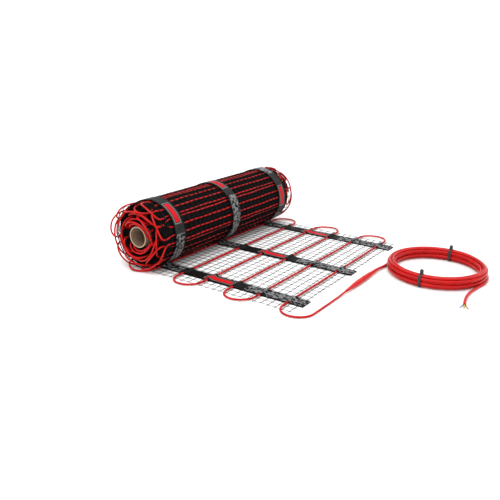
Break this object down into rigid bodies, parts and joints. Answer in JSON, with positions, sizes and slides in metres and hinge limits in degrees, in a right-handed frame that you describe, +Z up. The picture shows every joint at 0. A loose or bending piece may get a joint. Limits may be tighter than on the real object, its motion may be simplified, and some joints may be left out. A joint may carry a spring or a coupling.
{
  "type": "underfloor heating mat",
  "caption": "Mesh mat with a heating cable taped on in runs and loops, partly rolled on a cardboard core, its connection lead coiled and tied beside it.",
  "frame": {"origin": "on the floor, below the middle of the mat's box without the lead", "axes": "+X along the unrolled mat away from the roll, +Y along the roll's axis, +Z up"},
  "size_m": [0.6579, 0.496, 0.1364],
  "materials": {
    "card_core": "matt",
    "rolled_mat": "matt",
    "adhesive_tape": "semi-matt",
    "mesh_thread": "matt",
    "heating_cable": "satin",
    "splice_sleeve": "satin",
    "lead_jacket": "satin",
    "cable_tie": "satin",
    "core_blue": "satin",
    "core_green_yellow": "satin",
    "core_red": "satin"
  },
  "bodies": {
    "root": {"core_tube": "card_core", "rolled_turns": "rolled_mat", "outer_turn": "rolled_mat", "roll_tape_near": "adhesive_tape", "lower_tape_near": "adhesive_tape", "upper_tape_near": "adhesive_tape", "roll_tape_middle": "adhesive_tape", "lower_tape_middle": "adhesive_tape", "upper_tape_middle": "adhesive_tape", "roll_tape_far": "adhesive_tape", "lower_tape_far": "adhesive_tape", "upper_tape_far": "adhesive_tape", "mesh_weft": "mesh_thread", "mesh_warp": "mesh_thread", "heating_cable": "heating_cable", "splice_sleeve": "splice_sleeve", "lead_start": "lead_jacket", "lead_coil": "lead_jacket", "lead_end": "lead_jacket", "core_neutral": "core_blue", "core_earth": "core_green_yellow", "core_live": "core_red", "cable_tie_front": "cable_tie", "cable_tie_back": "cable_tie"}
  },
  "joints": []
}
